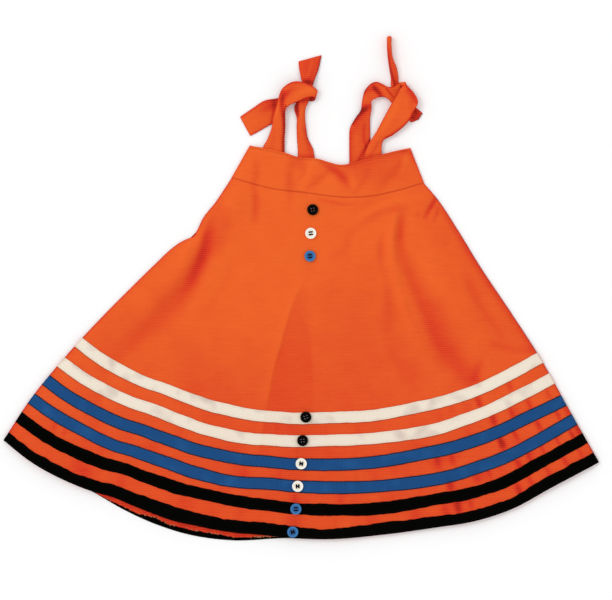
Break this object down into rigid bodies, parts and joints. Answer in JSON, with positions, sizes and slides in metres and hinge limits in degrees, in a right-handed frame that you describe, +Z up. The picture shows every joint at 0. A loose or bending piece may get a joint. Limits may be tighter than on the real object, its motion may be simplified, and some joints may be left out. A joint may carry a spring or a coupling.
{
  "type": "sarafan dress",
  "caption": "Child's flared summer sarafan laid flat with its front up, with a shallow bodice, shoulder straps tied in knots, tape bands near the hem and buttons down the front.",
  "frame": {"origin": "bottom centre of the garment's box, on the surface that it lies on", "axes": "+X to the right across the garment as it lies face up, +Y from the hem towards the straps, +Z up"},
  "size_m": [0.773, 0.6538, 0.0123],
  "materials": {
    "orange_cloth": "matt woven cotton with a fine rib",
    "cream_tape": "matt woven cotton tape",
    "blue_tape": "matt woven cotton tape",
    "black_tape": "matt woven cotton tape",
    "black_button": "glossy moulded button",
    "white_button": "glossy moulded button",
    "blue_button": "glossy moulded button"
  },
  "bodies": {
    "root": {"skirt_front": "orange_cloth", "skirt_back": "orange_cloth", "bodice_front": "orange_cloth", "bodice_back": "orange_cloth", "front_tape_cream_upper": "cream_tape", "front_tape_cream_lower": "cream_tape", "front_tape_blue_upper": "blue_tape", "front_tape_blue_lower": "blue_tape", "front_tape_black": "black_tape", "front_tape_hem": "black_tape", "back_tape_cream_upper": "cream_tape", "back_tape_cream_lower": "cream_tape", "back_tape_blue_upper": "blue_tape", "back_tape_blue_lower": "blue_tape", "back_tape_black": "black_tape", "back_tape_hem": "black_tape", "strap_front_left": "orange_cloth", "strap_back_left": "orange_cloth", "strap_back_right": "orange_cloth", "strap_front_right": "orange_cloth", "button_1": "black_button", "button_2": "white_button", "button_3": "blue_button", "button_4": "black_button", "button_5": "black_button", "button_6": "white_button", "button_7": "white_button", "button_8": "blue_button", "button_9": "blue_button"}
  },
  "joints": []
}
